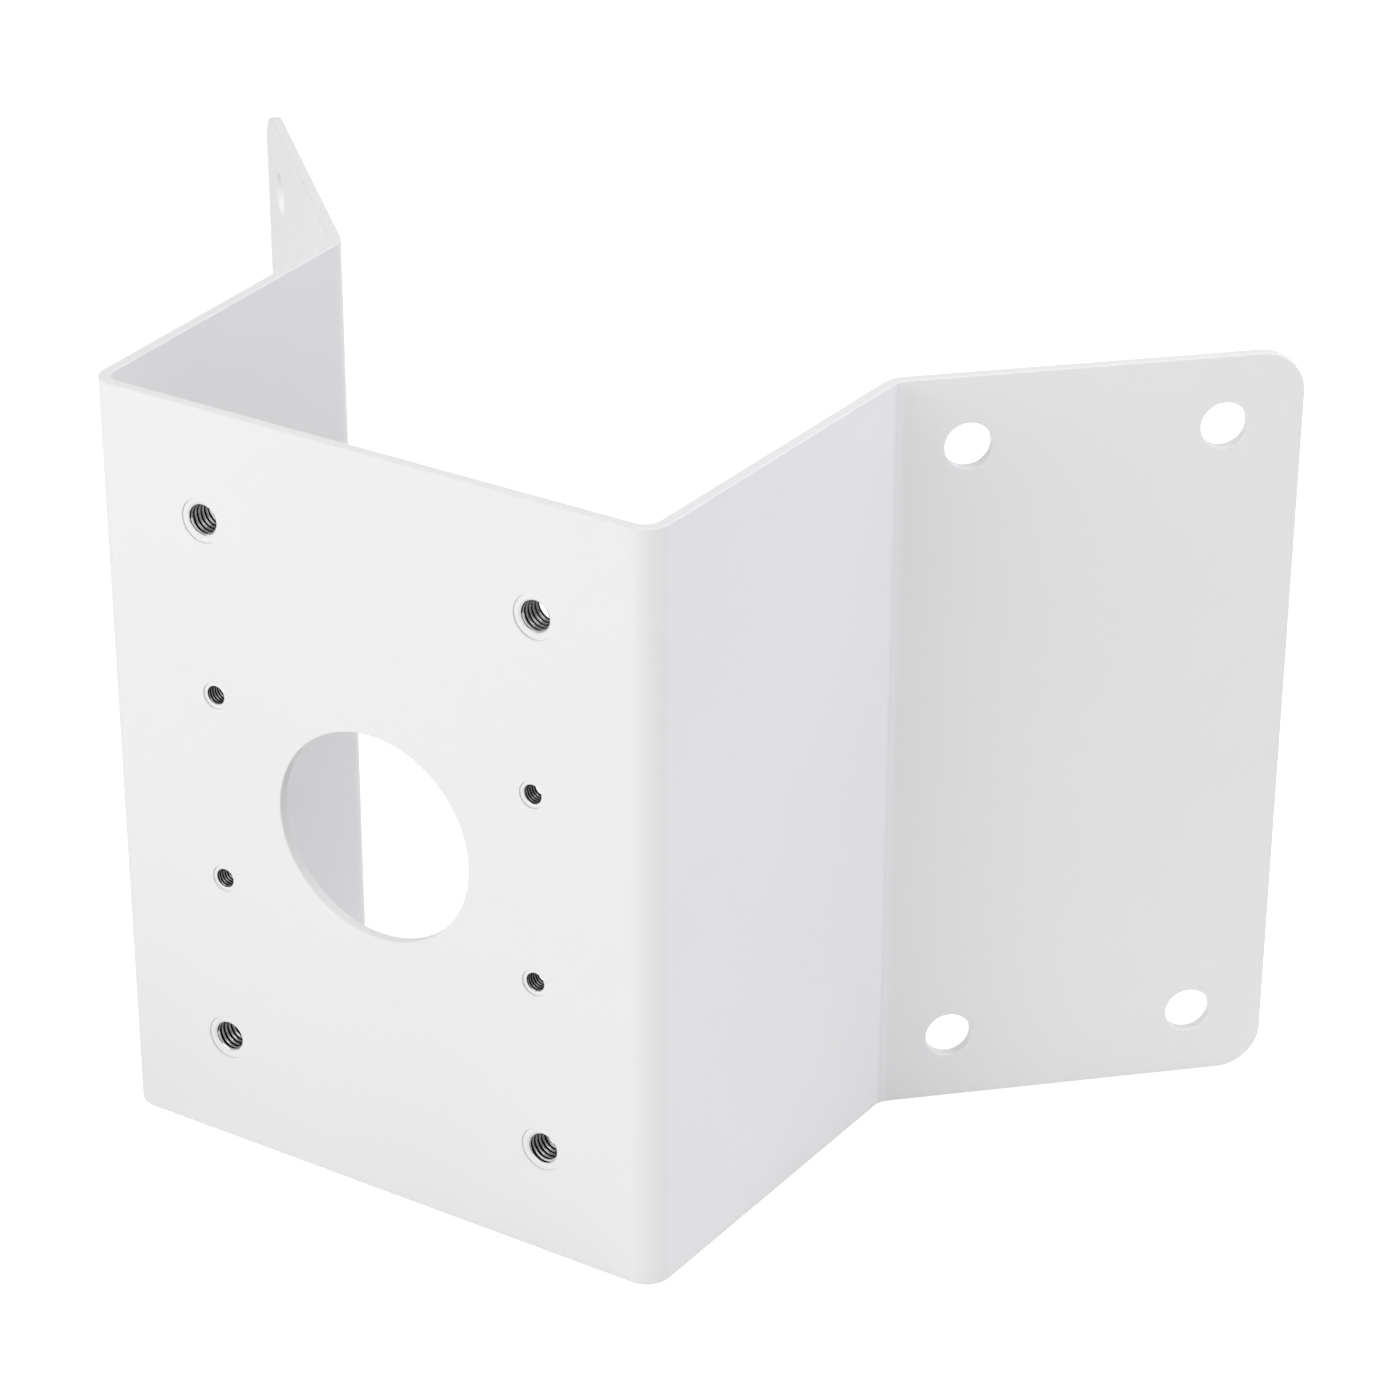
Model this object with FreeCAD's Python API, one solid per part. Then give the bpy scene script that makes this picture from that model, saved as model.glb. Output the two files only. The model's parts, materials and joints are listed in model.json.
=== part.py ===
"""Corner mount adapter: one folded, powder-coated steel sheet with eight self-clinching nuts.

Frame: +Z up, +Y from the front plate back to the corner of the building, +X to the right.
The origin is the centre of the cable hole, on the front plate's outer face.
Lengths are in millimetres and angles in degrees.
"""
import FreeCAD, Part
import math
import os
from collections import namedtuple
from FreeCAD import Vector

# Folded sheet, with its coat. Lengths run to the sharp corners of the outer face.
sheet_thickness = 2.6
bracket_height = 183.0
front_width = 144.5
side_length = 92.5
wing_length = 91.8
front_bend_angle = 88.0
wing_bend_angle = 44.5
front_bend_inner_radius = 3.6
wing_bend_inner_radius = 5.0
wing_corner_radius = 10.0

# Cable hole, and the screw holes near the four corners of each wing
cable_hole_diameter = 50.0
wall_hole_diameter = 10.8
wall_hole_edge_margin = 16.5
wall_hole_end_margin = 17.9
wall_hole_bend_margin = 16.1

# Where the nuts sit, across and up the front plate
m8_spacing_x = 86.0
m8_spacing_z = 130.0
m5_spacing_x = 83.5
m5_spacing_z = 46.0

# M8 x 1.25 self-clinching nut. The bore is the thread's minor diameter.
m8_bore_diameter = 6.65
m8_countersink_diameter = 8.3
m8_countersink_depth = 0.8
m8_shank_diameter = 10.44
m8_head_diameter = 12.7
m8_head_height = 5.5

# M5 x 0.8 self-clinching nut
m5_bore_diameter = 4.13
m5_countersink_diameter = 5.2
m5_countersink_depth = 0.3
m5_shank_diameter = 6.34
m5_head_diameter = 8.7
m5_head_height = 2.1

# The seat of both nut sizes: the sheet flows into an undercut of the shank beside the head
shank_recess = 0.4
undercut_depth = 0.25
undercut_width = 0.8
clinch_clearance = 0.03

# How far a cutter runs past the face that it opens, and how closely an edge is matched
cut_overrun = 5.0
match_distance = 0.01

NutSize = namedtuple("NutSize", "bore countersink countersink_depth shank head head_height")
M8 = NutSize(
    m8_bore_diameter, m8_countersink_diameter, m8_countersink_depth,
    m8_shank_diameter, m8_head_diameter, m8_head_height,
)
M5 = NutSize(
    m5_bore_diameter, m5_countersink_diameter, m5_countersink_depth,
    m5_shank_diameter, m5_head_diameter, m5_head_height,
)


def heading(degrees):
    """Unit vector in plan, turned from +X towards +Y."""
    angle = math.radians(degrees)
    return Vector(math.cos(angle), math.sin(angle), 0)


def left_of(direction):
    """The direction turned a quarter turn to the left in plan."""
    return Vector(-direction.y, direction.x, 0)


def mirrored(point):
    """The same point on the other side of the plane X = 0."""
    return Vector(-point.x, point.y, point.z)


FRONT_RUN = heading(0)
SIDE_RUN = heading(front_bend_angle)
WING_RUN = heading(front_bend_angle - wing_bend_angle)
FRONT_CORNER = Vector(front_width / 2, 0, 0)
WING_CORNER = FRONT_CORNER + SIDE_RUN * side_length
WING_TIP = WING_CORNER + WING_RUN * wing_length


def pattern(spacing_x, spacing_z):
    """Name, X and Z of the four corners of a nut pattern about the origin."""
    places = []
    for row, level in (("upper", spacing_z / 2), ("lower", -spacing_z / 2)):
        for side, offset in (("left", -spacing_x / 2), ("right", spacing_x / 2)):
            places.append((row + "_" + side, offset, level))
    return places


M8_PLACES = pattern(m8_spacing_x, m8_spacing_z)
M5_PLACES = pattern(m5_spacing_x, m5_spacing_z)


def back_corner(corner, run_before, run_after):
    """Where the back faces of two runs meet, behind the given corner of their outer faces."""
    normal_before = left_of(run_before)
    normal_after = left_of(run_after)
    reach = sheet_thickness / (1 + normal_before.dot(normal_after))
    return corner + (normal_before + normal_after) * reach


def rounded_run(points, radii):
    """Edges of an open run of lines, with each inner corner rounded by its radius."""
    edges = []
    start = points[0]
    for before, corner, after, radius in zip(points, points[1:], points[2:], radii):
        to_before = (before - corner).normalize()
        to_after = (after - corner).normalize()
        half_angle = to_before.getAngle(to_after) / 2
        setback = radius / math.tan(half_angle)
        rise = radius / math.sin(half_angle) - radius
        arc_start = corner + to_before * setback
        arc_end = corner + to_after * setback
        arc_middle = corner + (to_before + to_after).normalize() * rise
        edges.append(Part.LineSegment(start, arc_start).toShape())
        edges.append(Part.Arc(arc_start, arc_middle, arc_end).toShape())
        start = arc_end
    edges.append(Part.LineSegment(start, points[-1]).toShape())
    return edges


def folded_blank():
    """The sheet folded twice on each side, as its plan section drawn up to full height."""
    right_face = [FRONT_CORNER, WING_CORNER, WING_TIP]
    right_back = [
        back_corner(FRONT_CORNER, FRONT_RUN, SIDE_RUN),
        back_corner(WING_CORNER, SIDE_RUN, WING_RUN),
        WING_TIP + left_of(WING_RUN) * sheet_thickness,
    ]
    face_points = [mirrored(point) for point in reversed(right_face)] + right_face
    back_points = [mirrored(point) for point in reversed(right_back)] + right_back
    front_outer = front_bend_inner_radius + sheet_thickness
    wing_outer = wing_bend_inner_radius + sheet_thickness
    face_radii = [wing_bend_inner_radius, front_outer, front_outer, wing_bend_inner_radius]
    back_radii = [wing_outer, front_bend_inner_radius, front_bend_inner_radius, wing_outer]
    edges = rounded_run(face_points, face_radii)
    edges += rounded_run(back_points, back_radii)
    edges.append(Part.LineSegment(face_points[0], back_points[0]).toShape())
    edges.append(Part.LineSegment(face_points[-1], back_points[-1]).toShape())
    section = Part.Face(Part.Wire(Part.__sortEdges__(edges)))
    blank = section.extrude(Vector(0, 0, bracket_height))
    blank.translate(Vector(0, 0, -bracket_height / 2))
    return blank


def round_wing_corners(blank):
    """Rounds the two outer corners of each wing, seen square to the wing."""
    tip_middle = WING_TIP + left_of(WING_RUN) * (sheet_thickness / 2)
    corners = []
    for tip in (tip_middle, mirrored(tip_middle)):
        for level in (-bracket_height / 2, bracket_height / 2):
            corners.append(Vector(tip.x, tip.y, level))
    edges = [
        edge
        for edge in blank.Edges
        if any((edge.CenterOfMass - corner).Length < match_distance for corner in corners)
    ]
    return blank.makeFillet(wing_corner_radius, edges)


def through_hole(centre, direction, diameter):
    """Cutter for a round hole through the sheet, from its outer face at the centre."""
    length = sheet_thickness + 2 * cut_overrun
    return Part.makeCylinder(diameter / 2, length, centre - direction * cut_overrun, direction)


def wall_hole_cutters():
    """Cutters for the four screw holes in each wing, square to the wing."""
    cutters = []
    into_wing = left_of(WING_RUN)
    level = bracket_height / 2 - wall_hole_edge_margin
    outer = WING_TIP - WING_RUN * wall_hole_end_margin
    inner = WING_CORNER + WING_RUN * wall_hole_bend_margin
    for place in (outer, inner):
        for height in (level, -level):
            centre = Vector(place.x, place.y, height)
            cutters.append(through_hole(centre, into_wing, wall_hole_diameter))
            cutters.append(through_hole(mirrored(centre), mirrored(into_wing), wall_hole_diameter))
    return cutters


def revolved(profile, centre_x, centre_z):
    """Solid of revolution about a line along Y, from points of radius and depth behind the front."""
    points = [Vector(radius, depth, 0) for radius, depth in profile]
    face = Part.Face(Part.makePolygon(points + points[:1]))
    solid = face.revolve(Vector(0, 0, 0), Vector(0, 1, 0), 360)
    solid.translate(Vector(centre_x, 0, centre_z))
    return solid


def undercut_profile(shank_diameter, clearance):
    """Outside of a shank along its undercut, grown by the clearance on each side."""
    shank = shank_diameter / 2 + clearance
    return [
        (shank, sheet_thickness - undercut_width),
        (shank - undercut_depth, sheet_thickness),
    ]


def clinch_hole_cutter(size, centre_x, centre_z):
    """Cutter that leaves the sheet closed round a nut's undercut."""
    undercut = undercut_profile(size.shank, clinch_clearance)
    front = -cut_overrun
    back = sheet_thickness + cut_overrun
    outline = [(0, front), (undercut[0][0], front)]
    outline += undercut
    outline += [(undercut[-1][0], back), (0, back)]
    return revolved(outline, centre_x, centre_z)


def nut(size, centre_x, centre_z):
    """Self-clinching nut: shank in the sheet from behind, round head on the sheet's back face."""
    end = sheet_thickness + size.head_height
    outline = [(size.countersink / 2, shank_recess), (size.shank / 2, shank_recess)]
    outline += undercut_profile(size.shank, 0)
    outline += [
        (size.head / 2, sheet_thickness),
        (size.head / 2, end),
        (size.countersink / 2, end),
        (size.bore / 2, end - size.countersink_depth),
        (size.bore / 2, shank_recess + size.countersink_depth),
    ]
    return revolved(outline, centre_x, centre_z)


def corner_bracket():
    """The folded sheet with its holes."""
    sheet = round_wing_corners(folded_blank())
    cutters = [through_hole(Vector(0, 0, 0), Vector(0, 1, 0), cable_hole_diameter)]
    cutters += wall_hole_cutters()
    cutters += [clinch_hole_cutter(M8, x, z) for _, x, z in M8_PLACES]
    cutters += [clinch_hole_cutter(M5, x, z) for _, x, z in M5_PLACES]
    return sheet.cut(cutters)


def clinch_nuts():
    """Each nut by its node's name."""
    pieces = {"m8_nut_" + place: nut(M8, x, z) for place, x, z in M8_PLACES}
    pieces.update({"m5_nut_" + place: nut(M5, x, z) for place, x, z in M5_PLACES})
    return pieces


def main():
    os.makedirs("parts", exist_ok=True)
    pieces = {"corner_bracket": corner_bracket()}
    pieces.update(clinch_nuts())
    for name, shape in pieces.items():
        solid = shape.Solids[0]
        solid.exportStep("parts/" + name + ".step")
        print(name, "solids", len(shape.Solids), "valid", solid.isValid(), "volume", round(solid.Volume, 1))


main()
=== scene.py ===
"""Corner mount adapter: a folded, white-coated steel sheet with eight threaded clinch nuts.

The sheet is drawn flat, as its blank, and then folded. A point of the blank has a place along
the developed front face, a height, and a depth behind that face.
The frame is the part's own: +Z up, +Y from the front plate back to the building's corner.
Lengths are in metres.
"""
import json
import math

import bpy
import numpy as np
from bpy.props import FloatProperty, FloatVectorProperty, IntProperty, PointerProperty
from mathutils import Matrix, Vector


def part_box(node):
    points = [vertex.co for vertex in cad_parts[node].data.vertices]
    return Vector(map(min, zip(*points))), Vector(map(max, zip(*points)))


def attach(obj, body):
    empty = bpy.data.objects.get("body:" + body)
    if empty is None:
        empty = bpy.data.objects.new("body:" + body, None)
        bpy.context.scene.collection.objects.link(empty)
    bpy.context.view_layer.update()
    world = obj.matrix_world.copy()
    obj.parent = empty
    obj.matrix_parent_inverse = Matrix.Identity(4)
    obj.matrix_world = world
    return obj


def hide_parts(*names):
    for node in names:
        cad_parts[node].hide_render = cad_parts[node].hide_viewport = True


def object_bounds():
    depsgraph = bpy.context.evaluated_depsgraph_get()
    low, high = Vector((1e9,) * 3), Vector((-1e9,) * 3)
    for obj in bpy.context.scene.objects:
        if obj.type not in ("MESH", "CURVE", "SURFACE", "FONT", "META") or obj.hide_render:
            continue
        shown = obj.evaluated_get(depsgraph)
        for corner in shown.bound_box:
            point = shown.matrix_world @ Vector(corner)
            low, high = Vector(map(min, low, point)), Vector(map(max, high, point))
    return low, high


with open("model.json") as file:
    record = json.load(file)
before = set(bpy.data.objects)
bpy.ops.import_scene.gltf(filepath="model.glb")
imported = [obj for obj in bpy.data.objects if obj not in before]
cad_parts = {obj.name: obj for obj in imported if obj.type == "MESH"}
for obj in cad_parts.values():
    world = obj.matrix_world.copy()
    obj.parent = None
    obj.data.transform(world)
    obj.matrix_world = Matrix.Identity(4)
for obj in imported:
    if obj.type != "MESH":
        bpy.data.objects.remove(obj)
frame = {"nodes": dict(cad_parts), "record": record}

bl_info = {
    "name": "Corner mount adapter",
    "version": (1, 0, 0),
    "blender": (4, 5, 0),
    "location": "View3D > Sidebar > Adapter",
    "description": "Builds a folded corner bracket with clinch nuts, and a studio to show it in",
    "category": "Mesh",
}

CAD_BOX = [list(corner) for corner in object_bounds()]
BODY = "root"
SHEET_NODE = "corner_bracket"
NUT_NODES = sorted(name for name in frame["nodes"] if "_nut_" in name)
MOUNTS = {mount["name"]: mount for mount in frame["record"]["mounts"]}
MM = 0.001
TURN = 2 * math.pi

# The size of the cells whose points are one vertex, a shift that keeps round numbers off the cells' walls,
# and how far the folded sheet may pass its node's box
WELD = 1e-8
CELL_SHIFT = 0.37
FIT = 2e-5


def mount_size(mount, size):
    """A size of a mount, which the record gives in millimetres."""
    return MOUNTS[mount]["dims"][size] * MM


def length(name, description, default):
    """A length that the sidebar offers."""
    return FloatProperty(
        name=name, description=description, default=default, min=0, unit="LENGTH", precision=5)


def angle(name, description, degrees):
    """An angle that the sidebar offers."""
    return FloatProperty(
        name=name, description=description, default=math.radians(degrees), subtype="ANGLE")


class SheetSizes(bpy.types.PropertyGroup):
    """Sizes of the folded sheet. Its lengths run to the sharp corners of the front face."""

    height: length("Height", "Height of the sheet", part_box(SHEET_NODE)[1].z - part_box(SHEET_NODE)[0].z)
    thickness: length("Thickness", "Steel with its coat", mount_size("cable_hole", "length_mm"))
    front_width: length("Front width", "Width of the front plate", 0.1445)
    side_length: length("Side length", "Depth of each side", 0.0925)
    wing_length: length("Wing length", "Length of each wing", 0.0918)
    front_bend_angle: angle("Front bend", "Turn from the front plate to a side", 88.0)
    wing_bend_angle: angle("Wing bend", "Turn from a side to its wing", 44.5)
    front_bend_radius: length("Front bend radius", "Measured on the front face", 0.0062)
    wing_bend_radius: length("Wing bend radius", "Measured on the front face", 0.005)
    wing_corner_radius: length("Wing corner radius", "Outer corners of the wings", 0.01)
    wall_hole_edge_margin: length("Wall hole to edge", "From a wall hole to the nearest edge", 0.0165)
    wall_hole_end_margin: length("Wall hole to end", "From an outer wall hole to the end", 0.0179)
    wall_hole_bend_margin: length("Wall hole to bend", "From an inner wall hole to the bend", 0.0161)
    edge_radius: length("Edge rounding", "Rounding of the coat on a cut edge", 0.00035)
    seat_edge_radius: length("Seat rounding", "Rounding of the coat round a nut", 0.0001)


def nut_sizes(label, pitch, major, shank, mouth, countersink, coat_reach, crest_coat, stain):
    """Property group with the sizes of one kind of clinch nut. Its node gives its head and its ends.

    The mouth, in front, and the countersink, behind, are each a radius and a depth.
    """
    properties = {
        "pitch": length("Pitch", "Thread pitch", pitch),
        "major_radius": length("Thread radius", "To the root of the thread", major),
        "shank_radius": length("Shank radius", "In the sheet", shank),
        "mouth_radius": length("Mouth radius", "At the front end of the bore", mouth[0]),
        "mouth_depth": length("Mouth depth", "At the front end of the bore", mouth[1]),
        "countersink_radius": length("Countersink radius", "At the back end of the bore", countersink[0]),
        "countersink_depth": length("Countersink depth", "At the back end of the bore", countersink[1]),
        "coat_reach": length("Coat reach", "How far the coat goes into the bore", coat_reach),
        "crest_coat": length("Crest coat", "How much further it goes on the thread's crest", crest_coat),
        # Painted shade: how far the steel's colour is darkened in the thread's root, where the grooves lie in
        # shade
        "stain": FloatProperty(
            name="Stain", description="How far the root's stain comes up the flanks", min=0,
            default=stain),
    }
    return type(label, (bpy.types.PropertyGroup,), {"__annotations__": properties})


# The last number of each is its strength of painted shade in the thread's root
M8Sizes = nut_sizes(
    "M8Sizes", 0.00125, 0.004, 0.00522, (0.00415, 0.00045), (0.0045, 0.0011), 0.0003, 0.0013, 1.0)
M5Sizes = nut_sizes(
    "M5Sizes", 0.0008, 0.0025, 0.00317, (0.00236, 0.0002), (0.0026, 0.00012), 0.00006, 0.0003, 2.0)


class Finishes(bpy.types.PropertyGroup):
    """Colours of the coat and of the bare steel."""

    coat: FloatVectorProperty(
        name="Coat", description="White powder coat", subtype="COLOR", min=0, max=1,
        default=(0.86, 0.86, 0.863))
    steel: FloatVectorProperty(
        name="Steel", description="Plated thread that the coat leaves bare", subtype="COLOR", min=0, max=1,
        default=(0.36, 0.36, 0.366))


class Studio(bpy.types.PropertyGroup):
    """Light, floor and camera."""

    sky: FloatProperty(
        name="Sky", description="Strength of the even light from all round", min=0, default=0.315)
    key: FloatProperty(
        name="Key", description="Power of the large softbox in front", subtype="POWER", min=0,
        default=10.95)
    front: FloatProperty(
        name="Front", description="Power of the small softbox in front", subtype="POWER", min=0,
        default=4.3)
    fill: FloatProperty(
        name="Fill", description="Power of the softbox on the left", subtype="POWER", min=0, default=1.4)
    rim: FloatProperty(
        name="Rim", description="Power of the softbox on the right", subtype="POWER", min=0, default=5.2)
    top: FloatProperty(
        name="Top", description="Power of the softbox above and behind", subtype="POWER", min=0,
        default=12.8)
    floor_glow: FloatProperty(
        name="Floor glow", description="Share of the floor's white that no shadow darkens",
        subtype="FACTOR", min=0, max=1, default=0.9)
    lens: FloatProperty(
        name="Lens", description="Focal length on a 36 mm sensor", subtype="DISTANCE_CAMERA", min=1,
        default=115.776)
    camera_place: FloatVectorProperty(
        name="Camera place", description="Where the camera stands", subtype="XYZ", unit="LENGTH",
        default=(0.511365, -0.683263, 0.478086))
    camera_turn: FloatVectorProperty(
        name="Camera turn", description="How the camera is turned", subtype="EULER",
        default=[math.radians(degrees) for degrees in (62.4371, -0.2228, 32.1773)])


class AdapterSettings(bpy.types.PropertyGroup):
    """Everything that the sidebar offers."""

    sheet: PointerProperty(type=SheetSizes, name="Sheet", description="Sizes of the folded sheet")
    m8: PointerProperty(type=M8Sizes, name="M8 nut", description="Sizes of the large nuts")
    m5: PointerProperty(type=M5Sizes, name="M5 nut", description="Sizes of the small nuts")
    finishes: PointerProperty(type=Finishes, name="Finishes", description="Colours")
    studio: PointerProperty(type=Studio, name="Studio", description="Light, floor and camera")
    thread_steps: IntProperty(
        name="Thread steps", description="Rows of mesh for each turn of a thread", min=6, default=16)


# The shank's undercut beside the head, which the sheet fills, and the gap left round the shank
UNDERCUT_DEPTH = 0.00025
UNDERCUT_WIDTH = 0.0008
SEAT_GAP = 0.00001

# Half widths of the lattice's rectangles round the nuts' seats, along the sheet and up it
NUT_COLUMN = 0.0085
M8_ROW = 0.0085
M5_ROW = 0.007

# Steps of the lattice: along one side of a hole's rectangle, half the cable hole's, in the bends, in the
# wings' round corners, in a rounding of an edge, along a side, and between two holes
HOLE_STEPS = 12
CABLE_STEPS = 16
FRONT_BEND_STEPS = 24
WING_BEND_STEPS = 12
CORNER_STEPS = 8
ROUND_STEPS = 6
SIDE_STEPS = 4
GAP_STEPS = 2

# Roundings of a nut: where an end meets the countersink, the head's edge, its foot, and the shank's end
END_ROUNDING = 0.00006
HEAD_ROUNDING = 0.0004
FOOT_ROUNDING = 0.00005
SHANK_ROUNDING = 0.00003

# Columns of points round a nut's axis
NUT_COLUMNS = 64

# How far from the middle of a crest the flank starts and ends, as a share of half the pitch
CREST_SHARE = 0.25
ROOT_SHARE = 0.875

# How much of a pitch the thread takes to reach its full depth, past the coat's end. The coat of the
# first crest: how far down the groove it goes, its share at the bore's sides, and how that falls upwards
RUN_IN = 0.08
CREST_COAT_SHARE = 0.8
CREST_COAT_LEVEL = 0.3
CREST_COAT_FALL = 1.0

# Share of a turn by which each thread is turned round its axis
THREAD_STARTS = {
    "m8_nut_upper_left": -0.05,
    "m8_nut_upper_right": -0.05,
    "m8_nut_lower_left": 0.02,
    "m8_nut_lower_right": 0.45,
    "m5_nut_upper_left": 0.94,
    "m5_nut_upper_right": 0.25,
    "m5_nut_lower_left": 0.8,
    "m5_nut_lower_right": 0.97,
}

# The part of a noise's values, from nought to one, that is mapped. Each noise named below is the size of
# its features and its detail.
NOISE_RANGE = (0.3, 0.7)

# Powder coat: the drift of its colour, the drift of its gloss and its range of roughness, its dimples,
# and its refractive index
COAT_DRIFT_NOISE = (0.06, 2)
COAT_DRIFT = 0.012
COAT_GLOSS_NOISE = (0.012, 3)
COAT_ROUGHNESS = (0.5, 0.58)
DIMPLE_NOISE = (0.0022, 1)
DIMPLE_DEPTH = 0.000012
COAT_IOR = 1.5

# Painted shade along the start of each wing bend, darkening the coat's colour: how far into the bend the line
# lies, where it ends on each side, and its shade
CREASE_SHADE_SHARE = 0.4
CREASE_SHADE_WIDTH = (0.00015, 0.0006)
CREASE_SHADE = 0.955

# The coat's edge in a bore: the size of each waver and how far it moves the edge, the detail of both, and
# how soft the edge is. Depths in the bore are in millimetres.
COAT_LINE_SLOW = (0.005, 0.04)
COAT_LINE_FAST = (0.0009, 0.06)
COAT_LINE_DETAIL = 2
COAT_FEATHER = 0.025

# The plated steel: the range of the groove over which painted shade darkens it in the thread's root, and its
# brightness at both ends, its mottle, and its roughness
STEEL_ROOT_SHADE = (0.0, 0.4, 1.0, 0.03)
STEEL_MOTTLE_NOISE = (0.0006, 3)
STEEL_MOTTLE = 0.25
STEEL_ROUGHNESS = 0.24

# The sky's tint, the floor as light falls on it, the part of it that shadows darken to the eye, how far
# it reaches, and each softbox by its place, its width and its colour
SKY_COLOUR = (0.98, 0.98, 1.0, 1)
FLOOR_COLOUR = (0.8, 0.8, 0.8, 1)
FLOOR_SHADE = (0.3, 0.3, 0.3, 1)
FLOOR_REACH = 6.0
SOFTBOXES = {
    "key": ((0.0, -2.1, 1.01), 1.2, (1.0, 1.0, 0.985)),
    "front": ((-0.26, -1.15, 0.34), 0.6, (1.0, 1.0, 0.985)),
    "fill": ((-0.84, -0.76, 0.21), 0.8, (1.0, 1.0, 0.985)),
    "rim": ((1.43, 0.46, 0.26), 1.0, (0.975, 0.975, 1.0)),
    "top": ((0.48, 0.65, 1.3), 1.2, (0.98, 0.98, 1.0)),
}


def grid_quads(rows, columns, closed=False):
    """Corner numbers of the quads of a grid of points, counted row by row, closed both ways or open."""
    index = np.arange(rows * columns).reshape(rows, columns)
    if closed:
        index = np.pad(index, ((0, 1), (0, 1)), mode="wrap")
    corners = [index[:-1, :-1], index[:-1, 1:], index[1:, 1:], index[1:, :-1]]
    return np.stack(corners, axis=-1).reshape(-1, 4)


def stepped(stops):
    """Values that rise in even steps from stop to stop, each a value and the steps that lead to it."""
    runs = [
        np.linspace(before, after, steps, endpoint=False)
        for (before, _), (after, steps) in zip(stops, stops[1:])
    ]
    return np.concatenate(runs + [[stops[-1][0]]])


def both_ways(values):
    """Values that rise from zero, with the same values below zero before them."""
    return np.concatenate([-values[:0:-1], values])


def welded(patches):
    """Joins patches of points, normals and quads, with each shared or unused point taken out.

    Points in the same cell of a very fine lattice are the same vertex.
    """
    points, normals = (np.concatenate([patch[part] for patch in patches]) for part in (0, 1))
    firsts = np.cumsum([0] + [len(patch[0]) for patch in patches[:-1]])
    quads = np.concatenate([patch[2] + first for patch, first in zip(patches, firsts)])
    used, quads = np.unique(quads, return_inverse=True)
    cells = np.floor(points[used] / WELD + CELL_SHIFT).astype(np.int64)
    _, kept, number = np.unique(cells, axis=0, return_index=True, return_inverse=True)
    return points[used][kept], normals[used][kept], number.reshape(-1)[quads.reshape(-1, 4)]


def check_closed(name, points, quads):
    """Stops the build unless every edge has a face on each side and the faces point outwards."""
    start, end = quads.reshape(-1), np.roll(quads, -1, axis=1).reshape(-1)
    forward, backward = (np.sort(a * len(points) + b) for a, b in ((start, end), (end, start)))
    if not np.array_equal(forward, backward) or (np.diff(forward) == 0).any():
        raise RuntimeError(name + " isn't closed")
    a, b, c, d = (points[quads[:, corner]] for corner in range(4))
    if np.einsum("ij,ij->", a, np.cross(b, c) + np.cross(c, d)) <= 0:
        raise RuntimeError(name + " is inside out")


def new_piece(name, points, normals, quads, material):
    """A smooth mesh object at the origin, with the given normals, that rides on the part."""
    check_closed(name, points, quads)
    mesh = bpy.data.meshes.new(name)
    mesh.from_pydata(points.tolist(), [], quads.tolist())
    mesh.shade_smooth()
    mesh.normals_split_custom_set_from_vertices(normals.tolist())
    mesh.materials.append(material)
    piece = bpy.data.objects.new(name, mesh)
    bpy.context.scene.collection.objects.link(piece)
    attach(piece, BODY)
    return piece


def fold_plan(sheet):
    """Where each stretch of the right half starts, along the front face and in plan.

    The stretches are the front plate, front bend, side, wing bend and wing. The chord of a stretch is
    its length times sin(turn / 2) / (turn / 2), at the heading half way along.
    """
    front_setback = sheet.front_bend_radius * math.tan(sheet.front_bend_angle / 2)
    wing_setback = sheet.wing_bend_radius * math.tan(sheet.wing_bend_angle / 2)
    lengths = np.array([
        sheet.front_width / 2 - front_setback,
        sheet.front_bend_radius * sheet.front_bend_angle,
        sheet.side_length - front_setback - wing_setback,
        sheet.wing_bend_radius * sheet.wing_bend_angle,
        sheet.wing_length - wing_setback,
    ])
    turns = np.array([0, sheet.front_bend_angle, 0, -sheet.wing_bend_angle, 0])
    headings = np.concatenate([[0], np.cumsum(turns)])
    chords = lengths * np.sinc(turns / TURN)
    middles = headings[:-1] + turns / 2
    return {
        "starts": np.concatenate([[0], np.cumsum(lengths)]),
        "headings": headings,
        "bends": turns / lengths,
        "x": np.concatenate([[0], np.cumsum(chords * np.cos(middles))]),
        "y": np.concatenate([[0], np.cumsum(chords * np.sin(middles))]),
    }


def folded(plan, points, normals):
    """Folds flat points and normals: along the front face by arc length, then back by the depth.

    The left half is the right half in the mirror x = 0.
    """
    side = np.where(points[:, 0] < 0, -1.0, 1.0)
    reach = np.abs(points[:, 0])
    stretch = np.searchsorted(plan["starts"][:-1], reach, side="right") - 1
    run = reach - plan["starts"][stretch]
    turn = plan["bends"][stretch] * run
    chord = run * np.sinc(turn / TURN)
    middle = plan["headings"][stretch] + turn / 2
    heading = plan["headings"][stretch] + turn
    back = np.stack([-np.sin(heading), np.cos(heading)])
    ahead = np.stack([np.cos(heading), np.sin(heading)])
    start = np.stack([plan["x"][stretch], plan["y"][stretch]])
    x, y = start + chord * np.stack([np.cos(middle), np.sin(middle)]) + points[:, 2] * back
    nx, ny = normals[:, 0] * side * ahead + normals[:, 2] * back
    places = np.stack([x * side, y, points[:, 1]], axis=-1)
    return places, np.stack([nx * side, ny, normals[:, 1]], axis=-1)


def coated_edge(thickness, radius):
    """Section of a cut edge: a quarter round of the coat, the flat cut, and a quarter round.

    Each row gives how far a point lies in from the edge, its depth, and its normal, out and back.
    """
    turn = np.linspace(0, math.pi / 2, ROUND_STEPS + 1)
    inset = radius * (1 - np.sin(turn))
    depth = radius * (1 - np.cos(turn))
    front = np.stack([inset, depth, np.sin(turn), -np.cos(turn)], axis=-1)
    back = np.stack([inset, thickness - depth, np.sin(turn), np.cos(turn)], axis=-1)
    return np.concatenate([front, back[::-1]])


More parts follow.
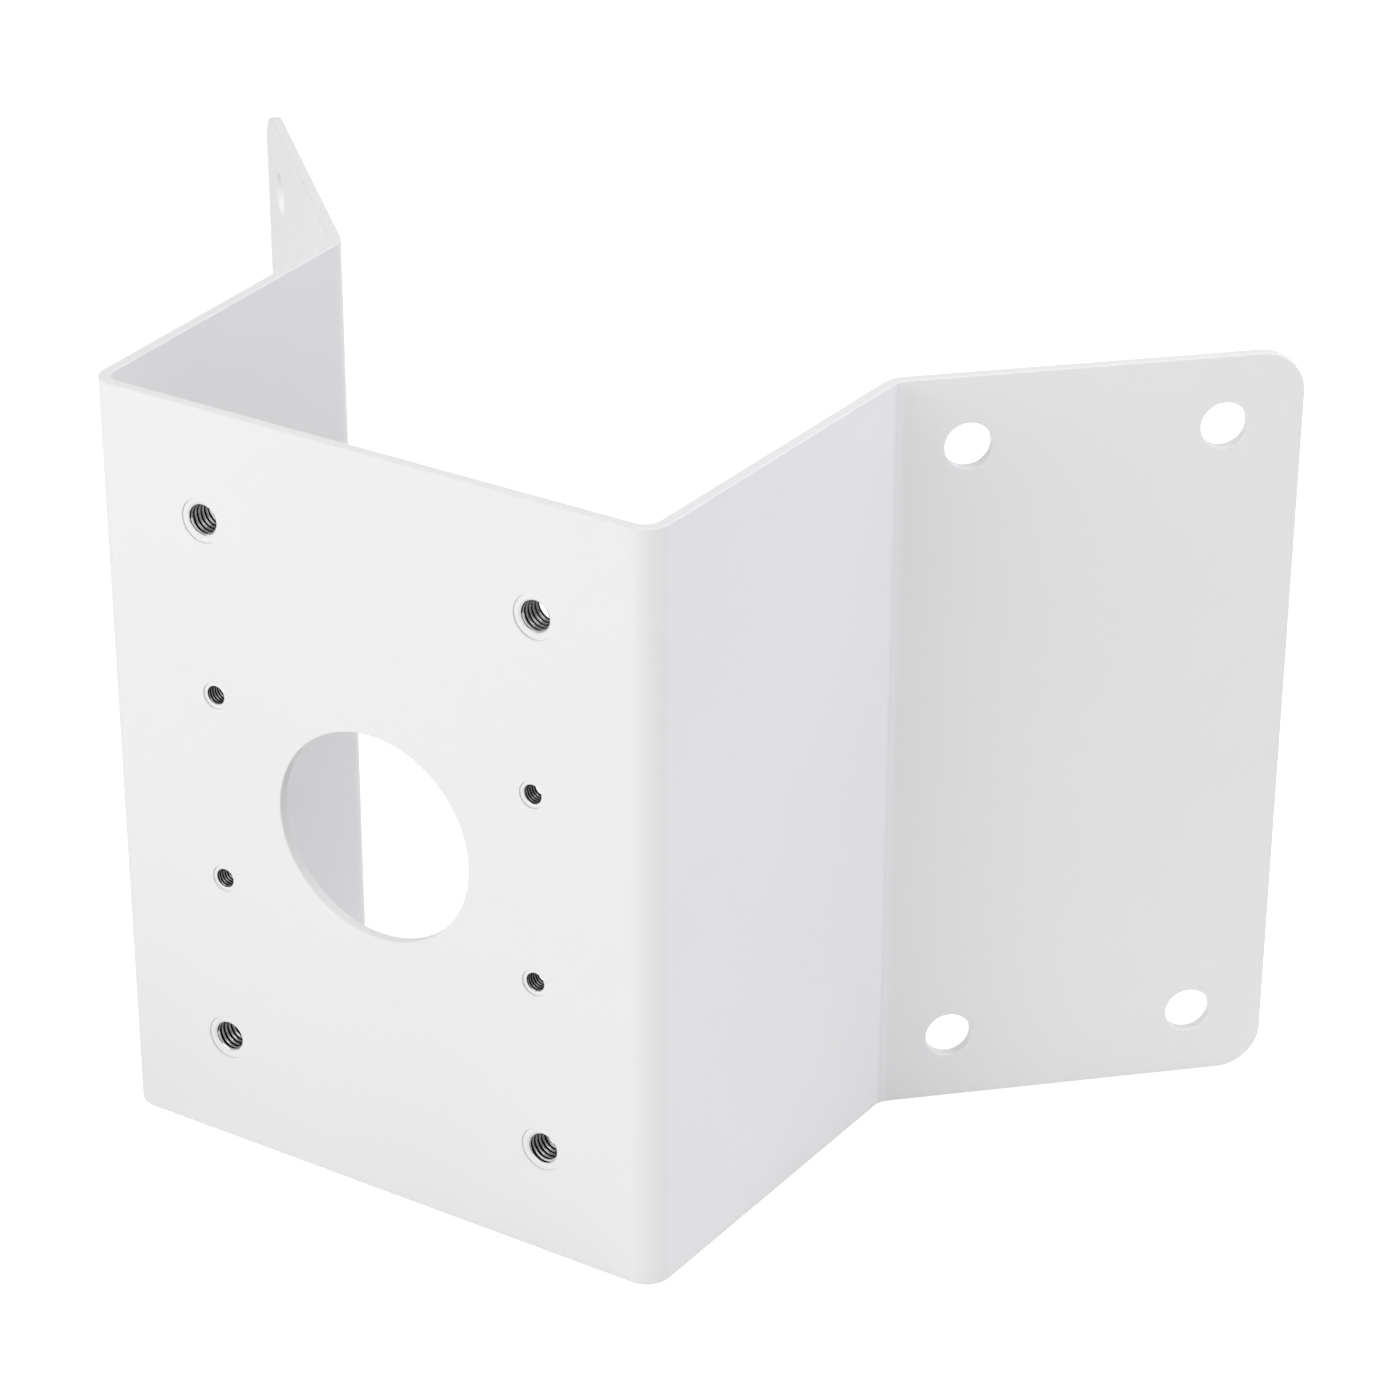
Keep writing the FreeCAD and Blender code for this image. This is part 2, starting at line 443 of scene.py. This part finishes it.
def seat_edge(thickness, radius):
    """Section of the hole that a nut is pressed into: rounded in front, closed on the undercut behind."""
    front = coated_edge(thickness, radius)[:ROUND_STEPS + 1]
    wall = [[0, thickness - UNDERCUT_WIDTH, 1, 0], [-UNDERCUT_DEPTH, thickness, 1, 0]]
    return np.concatenate([front, wall])


def rim(edge, out, section):
    """Patch that carries a section along a closed edge line, with the material on the line's left."""
    inset, depth, outward, backward = (section[:, column, None, None] for column in range(4))
    each = np.ones((1, len(edge), 1))
    points = np.concatenate([edge - out * inset, depth * each], axis=-1)
    normals = np.concatenate([out * outward, backward * each], axis=-1)
    return points.reshape(-1, 3), normals.reshape(-1, 3), grid_quads(len(section), len(edge))[:, ::-1]


def plate(flat, quads, depth, way):
    """Patch of a face of the sheet: flat points at a depth, facing back (1) or to the front (-1)."""
    level = np.full((len(flat), 1), depth)
    normals = np.tile([0.0, 0.0, way], (len(flat), 1))
    return np.concatenate([flat, level], axis=-1), normals, quads[:, ::-way]


class Hole:
    """A round hole of the blank, in the middle of a rectangle of the lattice."""

    def __init__(self, centre, radius, columns, rows, section):
        self.centre = np.array(centre)
        self.radius = radius
        self.columns = sorted(columns)
        self.rows = sorted(rows)
        self.section = section

    def holds(self, s, z):
        """Which of these places lie in the rectangle."""
        return (s > self.columns[0]) & (s < self.columns[1]) & (z > self.rows[0]) & (z < self.rows[1])

    def rectangle(self, across, up):
        """The rectangle's lattice points, closed and anticlockwise, and an angle for each.

        A side takes a quarter of the turn in even steps, so the rectangle's corners are at the odd
        eighths of the turn.
        """
        s, z = (
            lines[(lines > low - WELD) & (lines < high + WELD)]
            for lines, (low, high) in ((across, self.columns), (up, self.rows))
        )
        bottom, top = (np.stack([s, np.full(len(s), end)], axis=-1) for end in (z[0], z[-1]))
        left, right = (np.stack([np.full(len(z), end), z], axis=-1) for end in (s[0], s[-1]))
        loop = np.concatenate([bottom[:-1], right[:-1], top[:0:-1], left[::-1]])
        eighths = stepped([(-3, 0), (-1, len(s) - 1), (1, len(z) - 1), (3, len(s) - 1), (5, len(z) - 1)])
        return loop, eighths * TURN / 8

    def patches(self, across, up, thickness):
        """The flat collars of both faces, from the hole to its rectangle, and the wall of the hole."""
        loop, turn = self.rectangle(across, up)
        way = np.stack([np.cos(turn), np.sin(turn)], axis=-1)
        quads = grid_quads(3, len(loop))[:, ::-1]
        collars = []
        for inset, depth, facing in ((self.section[0, 0], 0, -1), (self.section[-1, 0], thickness, 1)):
            ring = self.centre + way * (self.radius + inset)
            flat = np.concatenate([ring, (ring + loop) / 2, loop])
            collars.append(plate(flat, quads, depth, facing))
        wall = rim((self.centre + way * self.radius)[::-1], -way[::-1], self.section)
        return collars + [wall]


def four_holes(centre, radius, columns, rows, section):
    """A hole of the upper right quarter with its three mirror images."""
    return [
        Hole(np.multiply(centre, (side, level)), radius,
             np.multiply(columns, side), np.multiply(rows, level), section)
        for side in (-1, 1)
        for level in (-1, 1)
    ]


def round_corners(flat, half_size, radius, inset):
    """Draws the corner squares of the lattice in to quarter discs, and says which way is out.

    In a corner square, x and y from 0 to 1 become x sqrt(1 - y y / 2) and y sqrt(1 - x x / 2).
    """
    core = half_size - radius
    over = np.clip((np.abs(flat) - core) / (radius - inset), 0, None)
    disc = over * np.sqrt(1 - over[:, ::-1] ** 2 / 2)
    over = np.where((over > 0).all(axis=-1, keepdims=True), disc, over)
    drawn = np.where(over > 0, np.sign(flat) * (core + over * (radius - inset)), flat)
    return drawn, np.sign(flat) * over


def blank_patches(settings, plan):
    """Patches of the flat blank: both faces, the rim round its outline, and its holes."""
    sheet = settings.sheet
    section = coated_edge(sheet.thickness, sheet.edge_radius)
    seat = seat_edge(sheet.thickness, sheet.seat_edge_radius)
    starts = plan["starts"]
    half_size = np.array([starts[5], sheet.height / 2])
    core = half_size - sheet.wing_corner_radius
    end = half_size - sheet.edge_radius

    m8_x, m5_x = (mount_size(name + "_pattern", "spacing_x_mm") / 2 for name in ("m8", "m5"))
    m8_z, m5_z = (mount_size(name + "_pattern", "spacing_y_mm") / 2 for name in ("m8", "m5"))
    wall_radius = mount_size("right_wing_upper_outer_hole", "r_mm")
    wall_z = half_size[1] - sheet.wall_hole_edge_margin
    outer_s = half_size[0] - sheet.wall_hole_end_margin
    wing_corner = starts[4] - sheet.wing_bend_radius * math.tan(sheet.wing_bend_angle / 2)
    inner_s = wing_corner + sheet.wall_hole_bend_margin

    wall_reach = core - (outer_s, wall_z)
    nut_columns = (m8_x + m5_x) / 2 + np.array([-NUT_COLUMN, NUT_COLUMN])
    m8_rows = m8_z + np.array([-M8_ROW, M8_ROW])
    m5_rows = m5_z + np.array([-M5_ROW, M5_ROW])
    inner_columns, outer_columns = (s + wall_reach[0] * np.array([-1, 1]) for s in (inner_s, outer_s))
    wall_rows = wall_z + wall_reach[1] * np.array([-1, 1])
    shared = HOLE_STEPS // 3

    across = both_ways(stepped([
        (0, 0), (nut_columns[0], CABLE_STEPS), (nut_columns[1], HOLE_STEPS),
        (starts[1], 1), (starts[2], FRONT_BEND_STEPS), (starts[3], SIDE_STEPS),
        (starts[4], WING_BEND_STEPS),
        (inner_columns[0], 1), (inner_columns[1], HOLE_STEPS),
        (outer_columns[0], GAP_STEPS), (outer_columns[1], HOLE_STEPS), (end[0], CORNER_STEPS),
    ]))
    up = both_ways(stepped([
        (0, 0), (m5_rows[0], CABLE_STEPS - HOLE_STEPS), (m5_rows[1], HOLE_STEPS),
        (m8_rows[0], GAP_STEPS), (wall_rows[0], HOLE_STEPS - shared), (m8_rows[1], shared),
        (wall_rows[1], HOLE_STEPS - shared), (end[1], CORNER_STEPS),
    ]))

    m8_radius, m5_radius = (nut.shank_radius + SEAT_GAP for nut in (settings.m8, settings.m5))
    holes = [Hole((0, 0), mount_size("cable_hole", "r_mm"),
                  (-nut_columns[0], nut_columns[0]), (-m5_rows[1], m5_rows[1]), section)]
    holes += four_holes((m8_x, m8_z), m8_radius, nut_columns, m8_rows, seat)
    holes += four_holes((m5_x, m5_z), m5_radius, nut_columns, m5_rows, seat)
    holes += four_holes((inner_s, wall_z), wall_radius, inner_columns, wall_rows, section)
    holes += four_holes((outer_s, wall_z), wall_radius, outer_columns, wall_rows, section)

    flat = np.stack(np.meshgrid(across, up), axis=-1).reshape(-1, 2)
    quads = grid_quads(len(up), len(across))
    middle = flat[quads].mean(axis=1)
    solid = ~np.any([hole.holds(*middle.T) for hole in holes], axis=0)
    flat, out = round_corners(flat, half_size, sheet.wing_corner_radius, sheet.edge_radius)

    index = np.arange(len(flat)).reshape(len(up), len(across))
    outline = np.concatenate([index[0, :-1], index[:-1, -1], index[-1, :0:-1], index[::-1, 0]])
    edge = flat[outline] + out[outline] * sheet.edge_radius
    patches = [
        plate(flat, quads[solid], 0, -1),
        plate(flat, quads[solid], sheet.thickness, 1),
        rim(edge, out[outline], section),
    ]
    for hole in holes:
        patches += hole.patches(across, up, sheet.thickness)
    return patches


def fold_sheet(settings, material):
    """The folded sheet in place of its node."""
    plan = fold_plan(settings.sheet)
    points, normals, quads = welded(blank_patches(settings, plan))
    points, normals = folded(plan, points, normals)
    points[:, 2] += (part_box(SHEET_NODE)[0].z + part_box(SHEET_NODE)[1].z) / 2
    low, high = np.array(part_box(SHEET_NODE))
    short = np.concatenate([points.min(axis=0) - low, high - points.max(axis=0)])
    if short.min() < -FIT or short.max() > settings.sheet.edge_radius:
        raise RuntimeError("the folded sheet doesn't fit its node: its sizes have to be the part's")
    piece = new_piece("folded_sheet", points, normals, quads, material)
    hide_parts(SHEET_NODE)
    return piece


def rounded(corners, radii):
    """Open line of radius and depth through the corners, each inner one rounded by its radius.

    A rounding runs from its first to its last radius arm, mixed by sines as on a great circle.
    """
    corners = np.array(corners)
    parts = [corners[:1]]
    for before, corner, after, radius in zip(corners, corners[1:], corners[2:], radii):
        to_before = (before - corner) / np.linalg.norm(before - corner)
        to_after = (after - corner) / np.linalg.norm(after - corner)
        half = math.acos(np.clip(to_before @ to_after, -1, 1)) / 2
        between = (to_before + to_after) / np.linalg.norm(to_before + to_after)
        centre = corner + between * radius / math.sin(half)
        setback = radius / math.tan(half)
        first, last = (corner + way * setback - centre for way in (to_before, to_after))
        spread = math.pi - 2 * half
        share = np.linspace(0, 1, ROUND_STEPS + 1)[:, None]
        arms = np.sin((1 - share) * spread) * first + np.sin(share * spread) * last
        parts.append(centre + arms / math.sin(spread))
    return np.concatenate(parts + [corners[-1:]])


def nut_grid(nut, seat, minor_radius, thread_steps):
    """Points of a nut as rows round its closed section and columns round its axis, and their finish.

    The bore's radius is the countersink's or the thread's, whichever is larger. The thread is a
    function of the phase, depth over pitch plus the share of a turn: flat crests a quarter of the pitch
    wide, flat roots an eighth wide, and straight flanks. It runs in from no depth where the coat ends,
    because the coat closes it at both ends of the bore. The outside is a revolved, rounded line.
    Bare is how far past the coat's end a point is, in millimetres. The coat goes further on the first
    crest than in the groove before it, and furthest at the bottom of the bore. Groove is nought on a
    crest and, in the root, the nut's strength of painted shade, which darkens the steel's colour there.
    """
    front, back, head = seat["front"], seat["back"], seat["head_radius"]
    sheet_back = seat["sheet_back"]
    steps = round((back - front) / nut.pitch * thread_steps)
    depth = np.linspace(front, back, steps + 1)[1:-1]
    sink = np.interp(
        depth,
        [front, front + nut.mouth_depth, back - nut.countersink_depth, back],
        [nut.mouth_radius, minor_radius, minor_radius, nut.countersink_radius],
    )
    outside = rounded(
        [
            (sink[-1], depth[-1]), (nut.countersink_radius, back), (head, back), (head, sheet_back),
            (nut.shank_radius - UNDERCUT_DEPTH, sheet_back),
            (nut.shank_radius, sheet_back - UNDERCUT_WIDTH), (nut.shank_radius, front),
            (nut.mouth_radius, front), (sink[0], depth[0]),
        ],
        [END_ROUNDING, HEAD_ROUNDING] + 3 * [FOOT_ROUNDING] + [SHANK_ROUNDING, END_ROUNDING],
    )[1:-1]
    turn = np.linspace(0, TURN, NUT_COLUMNS, endpoint=False)
    phase = depth[:, None] / nut.pitch + turn / TURN + seat["thread_start"]
    from_crest = np.abs(2 * (phase - np.floor(phase)) - 1)
    groove = np.clip((from_crest - CREST_SHARE) / (ROOT_SHARE - CREST_SHARE), 0, 1)
    reach = np.minimum(depth - front, back - depth)
    past_mouth = np.clip((reach - nut.mouth_depth) / (RUN_IN * nut.pitch), 0, 1)[:, None]
    crest = np.clip(1 - groove / CREST_COAT_SHARE, 0, 1)
    low = np.clip(CREST_COAT_LEVEL - CREST_COAT_FALL * np.sin(turn), 0, 1)
    bare = (reach - nut.coat_reach)[:, None] - nut.crest_coat * low * crest * past_mouth
    groove *= np.clip((reach - nut.coat_reach) / (RUN_IN * nut.pitch), 0, 1)[:, None]
    thread = minor_radius + (nut.major_radius - minor_radius) * groove
    bore = np.maximum(sink[:, None], thread)
    radius = np.concatenate([bore, np.repeat(outside[:, :1], NUT_COLUMNS, axis=1)])
    level = np.concatenate([depth, outside[:, 1]])[:, None]
    x, z = seat["x"] + radius * np.cos(turn), seat["z"] + radius * np.sin(turn)
    grid = np.stack([x, np.broadcast_to(level, x.shape), z], axis=-1)
    bare = np.concatenate([bare, np.full((len(outside), NUT_COLUMNS), -MM)])
    groove = np.concatenate([groove, np.zeros((len(outside), NUT_COLUMNS))])
    # The groove attribute carries the painted shade of the thread's root
    return grid, {"bare": bare.reshape(-1) / MM, "groove": groove.reshape(-1) * nut.stain}


def nut_seat(node):
    """Where a nut sits and how large its head is, from its node, and the sheet's back face."""
    low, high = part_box(node)
    return {
        "x": (low.x + high.x) / 2,
        "z": (low.z + high.z) / 2,
        "front": low.y,
        "back": high.y,
        "head_radius": (high.x - low.x) / 2,
        "thread_start": THREAD_STARTS[node],
        "sheet_back": mount_size("cable_hole", "length_mm"),
    }


def press_nut(settings, node, material):
    """One clinch nut in place of its node."""
    kind = node.split("_")[0]
    minor_radius = mount_size(kind + "_pattern", "hole_r_mm")
    grid, finish = nut_grid(getattr(settings, kind), nut_seat(node), minor_radius, settings.thread_steps)
    along, around = (np.roll(grid, -1, axis=axis) - np.roll(grid, 1, axis=axis) for axis in (0, 1))
    normals = np.cross(around, along)
    normals /= np.linalg.norm(normals, axis=-1, keepdims=True)
    quads = grid_quads(*grid.shape[:2], closed=True)
    piece = new_piece("pressed_" + node, grid.reshape(-1, 3), normals.reshape(-1, 3), quads, material)
    for name, values in finish.items():
        attribute = piece.data.attributes.new(name, "FLOAT", "POINT")
        attribute.data.foreach_set("value", values.astype(np.float32))
    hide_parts(node)
    return piece


def add_node(tree, kind, settings=(), inputs=()):
    """Adds a node, sets its fields, and sets or links its inputs."""
    made = tree.nodes.new(kind)
    for field, value in dict(settings).items():
        setattr(made, field, value)
    for name, value in dict(inputs).items():
        if isinstance(value, bpy.types.NodeSocket):
            tree.links.new(value, made.inputs[name])
        else:
            made.inputs[name].default_value = value
    return made


def new_material(name):
    """An empty material with its output."""
    material = bpy.data.materials.new(name)
    material.use_nodes = True
    material.node_tree.nodes.clear()
    return material, material.node_tree, material.node_tree.nodes.new("ShaderNodeOutputMaterial")


def ranged(tree, value, low, high, to_low, to_high, smooth=False):
    """A value mapped from one range to another, held at its ends."""
    settings = {"interpolation_type": "SMOOTHSTEP"} if smooth else {}
    inputs = {"Value": value, "From Min": low, "From Max": high, "To Min": to_low, "To Max": to_high}
    return add_node(tree, "ShaderNodeMapRange", settings, inputs).outputs["Result"]


def noise(tree, size, detail):
    """Noise on the object's own coordinates, with features of a size in metres."""
    place = add_node(tree, "ShaderNodeTexCoord").outputs["Object"]
    inputs = {"Vector": place, "Scale": 1 / size, "Detail": detail}
    return add_node(tree, "ShaderNodeTexNoise", {}, inputs).outputs["Fac"]


def coat_layers(tree, colour):
    """Colour, roughness and normal of a satin powder coat.

    The colour drifts a little over the sheet, the gloss drifts faster, and the surface has the shallow
    dimples of powder that has flowed out.
    """
    drift = ranged(tree, noise(tree, *COAT_DRIFT_NOISE), *NOISE_RANGE, 1 - COAT_DRIFT, 1)
    tint = add_node(tree, "ShaderNodeVectorMath", {"operation": "SCALE"}, {0: colour, "Scale": drift})
    gloss = ranged(tree, noise(tree, *COAT_GLOSS_NOISE), *NOISE_RANGE, *COAT_ROUGHNESS)
    dimples = add_node(tree, "ShaderNodeBump", {}, {
        "Height": noise(tree, *DIMPLE_NOISE), "Distance": DIMPLE_DEPTH, "Strength": 1.0})
    return tint.outputs["Vector"], gloss, dimples.outputs["Normal"]


def crease_shade_place(plan):
    """Where the painted shade line lies on the front face of the right wing bend, in plan."""
    start, end = plan["starts"][3:5]
    line = np.array([[start + CREASE_SHADE_SHARE * (end - start), 0.0, 0.0]])
    return folded(plan, line, line)[0][0, :2].tolist()


def crease_shaded(tree, colour, place):
    """The colour, darkened a little by painted shade along the upright lines at a place in plan and at its
    mirror image.
    """
    point = add_node(tree, "ShaderNodeTexCoord").outputs["Object"]
    axes = add_node(tree, "ShaderNodeSeparateXYZ", {}, {"Vector": point}).outputs
    right = add_node(tree, "ShaderNodeMath", {"operation": "ABSOLUTE"}, {0: axes["X"]}).outputs["Value"]
    flat = add_node(tree, "ShaderNodeCombineXYZ", {}, {"X": right, "Y": axes["Y"]}).outputs["Vector"]
    away = add_node(tree, "ShaderNodeVectorMath", {"operation": "DISTANCE"}, {0: flat, 1: (*place, 0.0)})
    shade = ranged(tree, away.outputs["Value"], *CREASE_SHADE_WIDTH, CREASE_SHADE, 1, smooth=True)
    dark = add_node(tree, "ShaderNodeVectorMath", {"operation": "SCALE"}, {0: colour, "Scale": shade})
    return dark.outputs["Vector"]


def white_coat(colour, shade_line):
    """Satin white powder coat of the sheet, with a line of painted shade on each wing bend."""
    material, tree, output = new_material("white_coat")
    tint, gloss, relief = coat_layers(tree, colour)
    surface = add_node(tree, "ShaderNodeBsdfPrincipled", {}, {
        "Base Color": crease_shaded(tree, tint, shade_line), "Roughness": gloss, "Normal": relief, "IOR": COAT_IOR})
    tree.links.new(surface.outputs["BSDF"], output.inputs["Surface"])
    return material


def nut_finish(colour, steel):
    """Powder coat over a nut, which ends in an uneven line inside the bore, on dark plated steel.

    The steel's colour is darkened in the root of the thread by painted shade, and left light on the crests.
    """
    material, tree, output = new_material("nut_finish")
    tint, gloss, relief = coat_layers(tree, colour)
    depth = add_node(tree, "ShaderNodeAttribute", {"attribute_name": "bare"}).outputs["Fac"]
    slow, fast = (
        ranged(tree, noise(tree, size, COAT_LINE_DETAIL), *NOISE_RANGE, -waver, waver)
        for size, waver in (COAT_LINE_SLOW, COAT_LINE_FAST)
    )
    line = add_node(tree, "ShaderNodeMath", {"operation": "ADD"}, {0: slow, 1: fast}).outputs["Value"]
    past = add_node(tree, "ShaderNodeMath", {"operation": "ADD"}, {0: depth, 1: line}).outputs["Value"]
    bare = ranged(tree, past, -COAT_FEATHER, 0.0, 0, 1, smooth=True)
    metal = ranged(tree, past, 0.0, COAT_FEATHER, 0, 1, smooth=True)
    groove = add_node(tree, "ShaderNodeAttribute", {"attribute_name": "groove"}).outputs["Fac"]
    # Painted shade: the steel is darkened in the thread's root, where the grooves lie in shade, and mottled
    # at random
    root = ranged(tree, groove, *STEEL_ROOT_SHADE)
    mottle = ranged(tree, noise(tree, *STEEL_MOTTLE_NOISE), *NOISE_RANGE, 1 - STEEL_MOTTLE, 1)
    root_shade_and_mottle = add_node(tree, "ShaderNodeMath", {"operation": "MULTIPLY"}, {0: root, 1: mottle}).outputs["Value"]
    dark = add_node(tree, "ShaderNodeVectorMath", {"operation": "SCALE"}, {0: steel, "Scale": root_shade_and_mottle})
    base = add_node(tree, "ShaderNodeMix", {"data_type": "RGBA"}, {
        "Factor": bare, "A": tint, "B": dark.outputs["Vector"]})
    rough = add_node(tree, "ShaderNodeMix", {}, {"Factor": bare, "A": gloss, "B": STEEL_ROUGHNESS})
    surface = add_node(tree, "ShaderNodeBsdfPrincipled", {}, {
        "Base Color": base.outputs["Result"], "Roughness": rough.outputs["Result"], "Metallic": metal,
        "Normal": relief, "IOR": COAT_IOR})
    tree.links.new(surface.outputs["BSDF"], output.inputs["Surface"])
    return material


def seen_directly(tree):
    """One for what the camera, a reflection or a clear thing sees, and nought for light that falls."""
    rays = add_node(tree, "ShaderNodeLightPath").outputs
    either = add_node(tree, "ShaderNodeMath", {"operation": "MAXIMUM"}, {
        0: rays["Is Camera Ray"], 1: rays["Is Glossy Ray"]})
    return add_node(tree, "ShaderNodeMath", {"operation": "MAXIMUM"}, {
        0: either.outputs["Value"], 1: rays["Is Transmission Ray"]}).outputs["Value"]


def light_sky(strength):
    """Even white light from all round, with a plain white background behind the object."""
    world = bpy.data.worlds.new("even_light")
    world.use_nodes = True
    tree = world.node_tree
    tree.nodes.clear()
    falling = add_node(tree, "ShaderNodeBackground", {}, {"Color": SKY_COLOUR, "Strength": strength})
    seen = add_node(tree, "ShaderNodeBackground", {}, {"Color": (1, 1, 1, 1), "Strength": 1.0})
    mixed = add_node(tree, "ShaderNodeMixShader", {}, {
        0: seen_directly(tree), 1: falling.outputs[0], 2: seen.outputs[0]})
    output = tree.nodes.new("ShaderNodeOutputWorld")
    tree.links.new(mixed.outputs[0], output.inputs["Surface"])
    bpy.context.scene.world = world


def lay_floor(glow):
    """Pale floor under the part: white to the eye, with most of the part's shadow lifted."""
    material, tree, output = new_material("pale_floor")
    lit = add_node(tree, "ShaderNodeBsdfDiffuse", {}, {"Color": FLOOR_COLOUR})
    shaded = add_node(tree, "ShaderNodeBsdfDiffuse", {}, {"Color": FLOOR_SHADE})
    white = add_node(tree, "ShaderNodeEmission", {}, {"Strength": glow})
    view = add_node(tree, "ShaderNodeAddShader", {}, {0: shaded.outputs[0], 1: white.outputs[0]})
    mixed = add_node(tree, "ShaderNodeMixShader", {}, {
        0: seen_directly(tree), 1: lit.outputs[0], 2: view.outputs[0]})
    tree.links.new(mixed.outputs[0], output.inputs["Surface"])
    level = CAD_BOX[0][2]
    mesh = bpy.data.meshes.new("floor")
    ends = (-FLOOR_REACH, FLOOR_REACH)
    corners = np.stack(np.meshgrid(ends, ends, [level]), axis=-1).reshape(-1, 3)
    mesh.from_pydata(corners.tolist(), [], [(0, 1, 3, 2)])
    mesh.materials.append(material)
    floor = bpy.data.objects.new("floor", mesh)
    bpy.context.scene.collection.objects.link(floor)


def hang_softbox(name, power):
    """A square area lamp, turned to the middle of the part."""
    place, width, colour = SOFTBOXES[name]
    lamp = bpy.data.lights.new(name + "_softbox", "AREA")
    lamp.size = width
    lamp.color = colour
    lamp.energy = power
    softbox = bpy.data.objects.new(lamp.name, lamp)
    softbox.location = place
    middle = (Vector(CAD_BOX[0]) + Vector(CAD_BOX[1])) / 2
    softbox.rotation_euler = (middle - softbox.location).to_track_quat("-Z", "Y").to_euler()
    bpy.context.scene.collection.objects.link(softbox)


def stand_camera(studio):
    """The camera where the photograph was taken from."""
    camera = bpy.data.cameras.new("camera")
    camera.lens = studio.lens
    stand = bpy.data.objects.new("camera", camera)
    stand.location = studio.camera_place
    stand.rotation_euler = studio.camera_turn
    bpy.context.scene.collection.objects.link(stand)
    bpy.context.scene.camera = stand


class ADAPTER_OT_folded_sheet(bpy.types.Operator):
    """Fold the sheet from its flat blank"""

    bl_idname = "adapter.folded_sheet"
    bl_label = "Folded sheet"

    def execute(self, context):
        settings = context.scene.adapter
        # The coat's colour gets a painted shade line at the start of each wing bend
        shade_line = crease_shade_place(fold_plan(settings.sheet))
        fold_sheet(settings, white_coat(settings.finishes.coat, shade_line))
        return {"FINISHED"}


class ADAPTER_OT_clinch_nuts(bpy.types.Operator):
    """Press the eight threaded nuts into the front plate"""

    bl_idname = "adapter.clinch_nuts"
    bl_label = "Clinch nuts"

    def execute(self, context):
        settings = context.scene.adapter
        finish = nut_finish(settings.finishes.coat, settings.finishes.steel)
        for node in NUT_NODES:
            press_nut(settings, node, finish)
        return {"FINISHED"}


class ADAPTER_OT_studio(bpy.types.Operator):
    """Lay the floor, hang the lamps and stand the camera"""

    bl_idname = "adapter.studio"
    bl_label = "Studio"

    def execute(self, context):
        studio = context.scene.adapter.studio
        light_sky(studio.sky)
        lay_floor(studio.floor_glow)
        for name in SOFTBOXES:
            hang_softbox(name, getattr(studio, name))
        stand_camera(studio)
        context.scene.view_settings.view_transform = "Standard"
        return {"FINISHED"}


class ADAPTER_PT_sidebar(bpy.types.Panel):
    """The adapter's sizes, finishes and studio, with the steps that build it"""

    bl_idname = "ADAPTER_PT_sidebar"
    bl_label = "Corner mount adapter"
    bl_space_type = "VIEW_3D"
    bl_region_type = "UI"
    bl_category = "Adapter"

    def draw(self, context):
        settings = context.scene.adapter
        for operator in OPERATORS:
            self.layout.operator(operator.bl_idname)
        self.layout.prop(settings, "thread_steps")
        for name in ("sheet", "m8", "m5", "finishes", "studio"):
            group = getattr(settings, name)
            box = self.layout.box()
            box.label(text=settings.bl_rna.properties[name].name)
            for prop in group.bl_rna.properties:
                if prop.identifier not in ("rna_type", "name"):
                    box.prop(group, prop.identifier)


OPERATORS = (ADAPTER_OT_folded_sheet, ADAPTER_OT_clinch_nuts, ADAPTER_OT_studio)
GROUPS = (SheetSizes, M8Sizes, M5Sizes, Finishes, Studio, AdapterSettings)
CLASSES = GROUPS + OPERATORS + (ADAPTER_PT_sidebar,)


def register():
    for each in CLASSES:
        bpy.utils.register_class(each)
    bpy.types.Scene.adapter = PointerProperty(type=AdapterSettings)


def unregister():
    del bpy.types.Scene.adapter
    for each in reversed(CLASSES):
        bpy.utils.unregister_class(each)


def main():
    register()
    bpy.ops.adapter.folded_sheet()
    bpy.ops.adapter.clinch_nuts()
    bpy.ops.adapter.studio()


if __name__ == "__main__":
    main()
